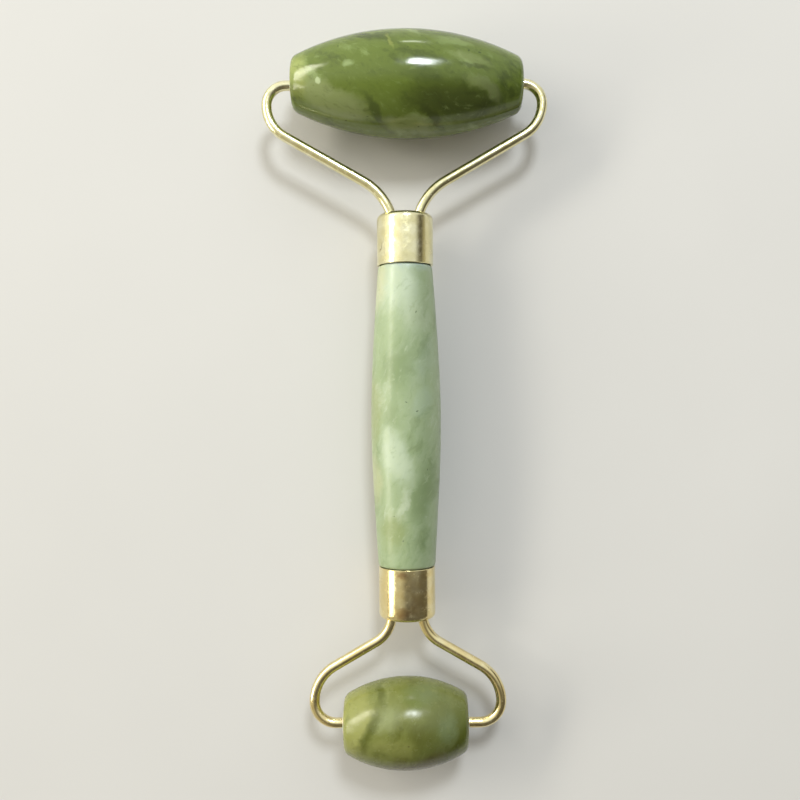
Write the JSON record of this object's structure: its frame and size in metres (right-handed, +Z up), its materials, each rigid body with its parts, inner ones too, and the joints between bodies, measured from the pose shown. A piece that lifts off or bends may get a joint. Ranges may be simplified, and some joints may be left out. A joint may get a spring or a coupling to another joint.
{
  "type": "jade face roller",
  "caption": "Hand massage tool with a barrel-shaped stone roller on a wire yoke at each end of a round stone handle.",
  "frame": {"origin": "on the surface the tool lies on, below the middle of its length and width", "axes": "+Y along the handle towards the large roller, +Z up from the surface, +X to the right along both roller axles"},
  "size_m": [0.0562, 0.1446, 0.0208],
  "materials": {
    "large_roller_jade": "olive green, polished, with paler cloudy streaks",
    "small_roller_jade": "yellow-green, polished, with darker veins",
    "handle_jade": "pale milky green, satin polish, mottled",
    "brass": "pale gold, polished, lightly worn",
    "bushing_plastic": "natural nylon",
    "resin": "cured amber casting resin"
  },
  "bodies": {
    "frame": {"handle": "handle_jade", "upper_ferrule": "brass", "lower_ferrule": "brass", "upper_yoke": "brass", "lower_yoke": "brass", "upper_resin_plug": "resin", "lower_resin_plug": "resin"},
    "large_roller": {"large_roller": "large_roller_jade", "large_roller_left_bushing": "bushing_plastic", "large_roller_right_bushing": "bushing_plastic"},
    "small_roller": {"small_roller": "small_roller_jade", "small_roller_left_bushing": "bushing_plastic", "small_roller_right_bushing": "bushing_plastic"}
  },
  "joints": [
    {"name": "large_roller_spin", "type": "hinge", "parent": "frame", "child": "large_roller", "pos_m": [0, 0.06187, 0.0104], "axis": [1, 0, 0], "continuous": true},
    {"name": "small_roller_spin", "type": "hinge", "parent": "frame", "child": "small_roller", "pos_m": [0, -0.06342, 0.00885], "axis": [1, 0, 0], "continuous": true}
  ]
}
